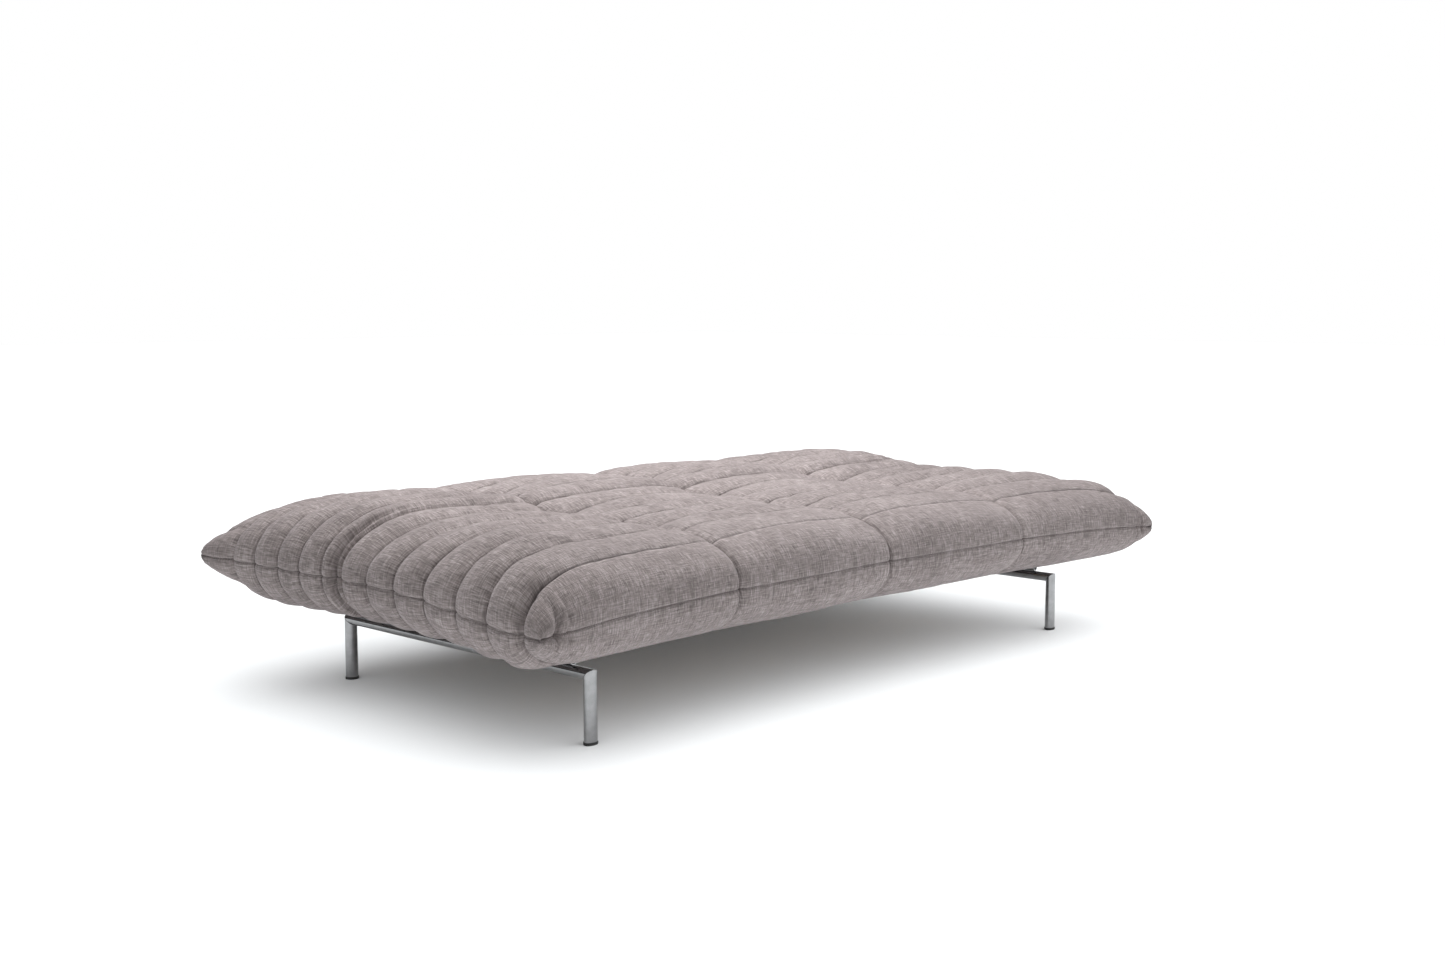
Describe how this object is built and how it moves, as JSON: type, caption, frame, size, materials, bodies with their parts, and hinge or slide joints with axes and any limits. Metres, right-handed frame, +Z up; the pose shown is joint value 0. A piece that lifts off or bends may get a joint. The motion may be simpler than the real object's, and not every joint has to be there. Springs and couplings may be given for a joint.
{
  "type": "futon sofa bed",
  "caption": "Sofa bed lying flat: a quilted pillow mattress folded along its length on slatted decks and chromed end frames; the back half tilts up.",
  "frame": {"origin": "centre of the object's outline, on the floor", "axes": "+X along the length to the right-hand end, -Y to the front edge of the seat, +Z up"},
  "size_m": [2.196, 1.25, 0.4412],
  "materials": {
    "chrome": "polished",
    "steel": "satin",
    "black_steel": "satin",
    "black_plastic": "matte",
    "wood": "satin",
    "foam": "matte",
    "fabric": "matte"
  },
  "bodies": {
    "base": {"end_rail_left": "chrome", "end_rail_right": "chrome", "frame_bolt_front_left": "steel", "frame_bolt_front_right": "steel", "frame_bolt_rear_left": "steel", "frame_bolt_rear_right": "steel", "glide_front_left": "black_plastic", "glide_front_right": "black_plastic", "glide_rear_left": "black_plastic", "glide_rear_right": "black_plastic", "hinge_bracket_left": "black_steel", "hinge_bracket_right": "black_steel", "hinge_pin_left": "steel", "hinge_pin_right": "steel", "leg_front_left": "chrome", "leg_front_right": "chrome", "leg_rear_left": "chrome", "leg_rear_right": "chrome", "seat_beam_front": "black_steel", "seat_beam_rear": "black_steel", "seat_cover_bottom": "fabric", "seat_cover_top": "fabric", "seat_foam": "foam", "seat_side_tube_left": "steel", "seat_side_tube_right": "steel", "seat_slat_1": "wood", "seat_slat_2": "wood", "seat_slat_3": "wood", "seat_slat_4": "wood", "seat_slat_5": "wood", "seat_slat_6": "wood", "seat_slat_7": "wood"},
    "backrest": {"back_beam_lower": "black_steel", "back_beam_upper": "black_steel", "back_cover_bottom": "fabric", "back_cover_top": "fabric", "back_foam": "foam", "back_side_tube_left": "steel", "back_side_tube_right": "steel", "back_slat_1": "wood", "back_slat_2": "wood", "back_slat_3": "wood", "back_slat_4": "wood", "back_slat_5": "wood", "back_slat_6": "wood", "back_slat_7": "wood", "hinge_arm_left": "black_steel", "hinge_arm_right": "black_steel"}
  },
  "joints": [
    {"name": "backrest_tilt", "type": "hinge", "parent": "base", "child": "backrest", "pos_m": [0, 0.13, 0.345], "axis": [1, 0, 0], "range_deg": [0, 70]}
  ]
}
